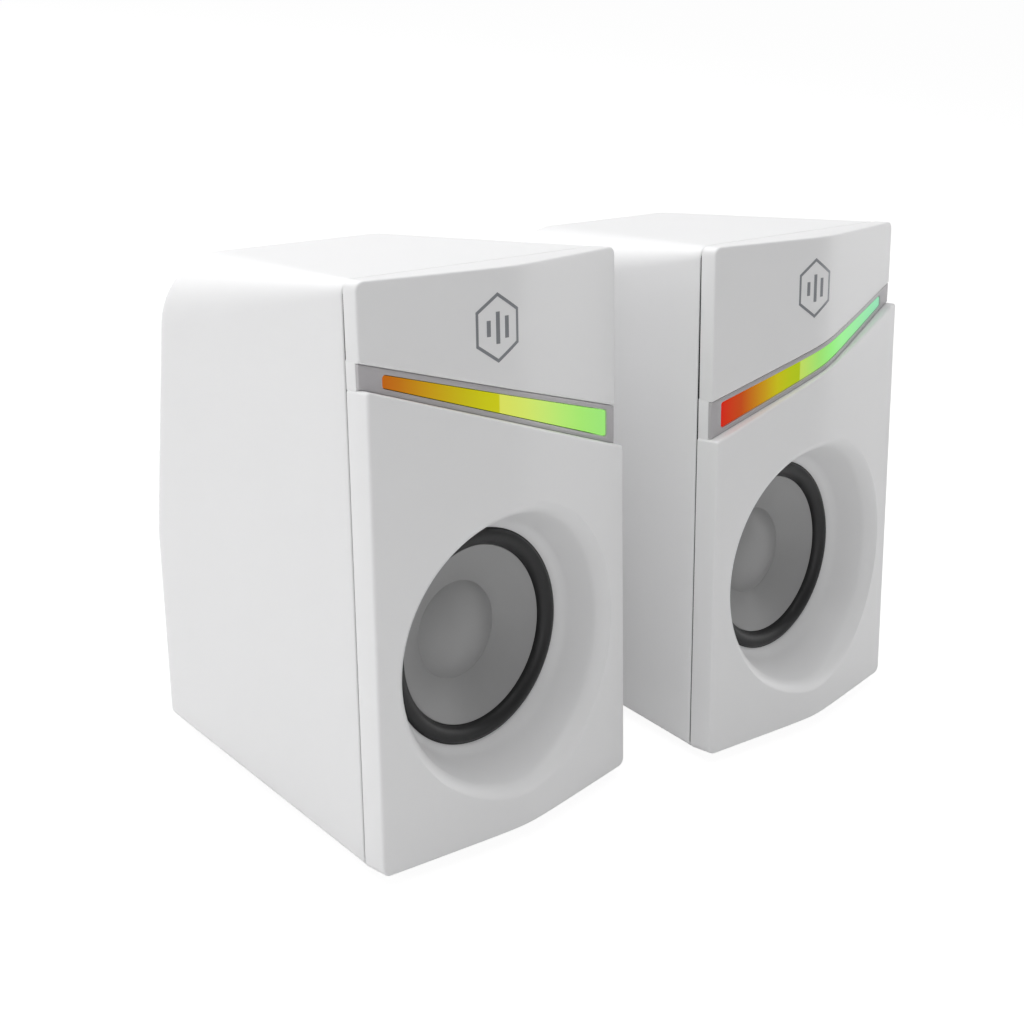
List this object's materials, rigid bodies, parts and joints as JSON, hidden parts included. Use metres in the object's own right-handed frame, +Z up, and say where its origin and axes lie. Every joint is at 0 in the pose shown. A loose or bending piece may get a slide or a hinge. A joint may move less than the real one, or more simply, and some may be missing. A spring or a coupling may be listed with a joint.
{
  "type": "desktop speaker pair",
  "caption": "Pair of small white desktop speakers that lean back, each with one driver in a round dish and a slanting lit bar; knob, button and sockets on the rear.",
  "frame": {"origin": "middle of the pair's box, on the desk under the feet", "axes": "+Z up, -Y towards the listener, +X towards the listener's right"},
  "size_m": [0.2216, 0.138, 0.1619],
  "materials": {
    "white_shell": "satin white moulding with a fine texture",
    "white_panel": "smooth satin white moulding",
    "foam": "black foam cord",
    "grey_trim": "grey satin insert",
    "light_guide": "frosted light guide, lit in many colours",
    "circuit_board": "green solder mask",
    "surround_rubber": "black butyl rubber",
    "grey_cone": "grey satin polypropylene",
    "copper": "enamelled copper winding",
    "spider_cloth": "resin-dipped woven cloth",
    "pressed_steel": "black coated pressed steel",
    "zinc_steel": "zinc-plated steel",
    "ferrite": "sintered ferrite",
    "black_plastic": "black satin moulding",
    "knob_plastic": "black ribbed moulding",
    "screw_steel": "zinc-plated screw",
    "foot_rubber": "soft black rubber"
  },
  "bodies": {
    "cases": {"left_cabinet": "white_shell", "left_front_panel": "white_panel", "left_panel_gasket": "foam", "left_light_trim": "grey_trim", "left_light_bar": "light_guide", "left_led_board": "circuit_board", "left_surround": "surround_rubber", "left_spider": "spider_cloth", "left_basket": "pressed_steel", "left_top_plate": "zinc_steel", "left_magnet": "ferrite", "left_yoke": "zinc_steel", "left_bass_port": "black_plastic", "left_rear_plate": "black_plastic", "left_case_screw_1": "screw_steel", "left_case_screw_2": "screw_steel", "left_case_screw_3": "screw_steel", "left_case_screw_4": "screw_steel", "left_link_jack": "black_plastic", "left_foot_1": "foot_rubber", "left_foot_2": "foot_rubber", "left_foot_3": "foot_rubber", "left_foot_4": "foot_rubber", "right_cabinet": "white_shell", "right_front_panel": "white_panel", "right_panel_gasket": "foam", "right_light_trim": "grey_trim", "right_light_bar": "light_guide", "right_led_board": "circuit_board", "right_surround": "surround_rubber", "right_spider": "spider_cloth", "right_basket": "pressed_steel", "right_top_plate": "zinc_steel", "right_magnet": "ferrite", "right_yoke": "zinc_steel", "right_bass_port": "black_plastic", "right_rear_plate": "black_plastic", "right_case_screw_1": "screw_steel", "right_case_screw_2": "screw_steel", "right_case_screw_3": "screw_steel", "right_case_screw_4": "screw_steel", "right_amp_board": "circuit_board", "right_potentiometer": "zinc_steel", "right_audio_jack": "black_plastic", "right_link_jack": "black_plastic", "right_power_socket": "zinc_steel", "right_foot_1": "foot_rubber", "right_foot_2": "foot_rubber", "right_foot_3": "foot_rubber", "right_foot_4": "foot_rubber"},
    "left_cone_assembly": {"left_cone": "grey_cone", "left_dust_cap": "grey_cone", "left_voice_coil": "copper"},
    "right_cone_assembly": {"right_cone": "grey_cone", "right_dust_cap": "grey_cone", "right_voice_coil": "copper"},
    "volume_knob": {"right_volume_knob": "knob_plastic"},
    "light_button": {"right_light_button": "knob_plastic"}
  },
  "joints": [
    {"name": "left_cone_travel", "type": "slide", "parent": "cases", "child": "left_cone_assembly", "axis": [0, -0.9848, 0.1736], "range_m": [-0.0015, 0.0015], "stiffness_N_per_m": 1200, "deforming": ["left_surround", "left_spider"]},
    {"name": "right_cone_travel", "type": "slide", "parent": "cases", "child": "right_cone_assembly", "axis": [0, -0.9848, 0.1736], "range_m": [-0.0015, 0.0015], "stiffness_N_per_m": 1200, "deforming": ["right_surround", "right_spider"]},
    {"name": "volume_turn", "type": "hinge", "parent": "cases", "child": "volume_knob", "pos_m": [0.054, 0.04994, 0.04196], "axis": [0, -0.9848, 0.1736], "range_deg": [0, 300]},
    {"name": "light_button_press", "type": "slide", "parent": "cases", "child": "light_button", "axis": [0, -0.9848, 0.1736], "range_m": [0, 0.0008], "stiffness_N_per_m": 800}
  ]
}
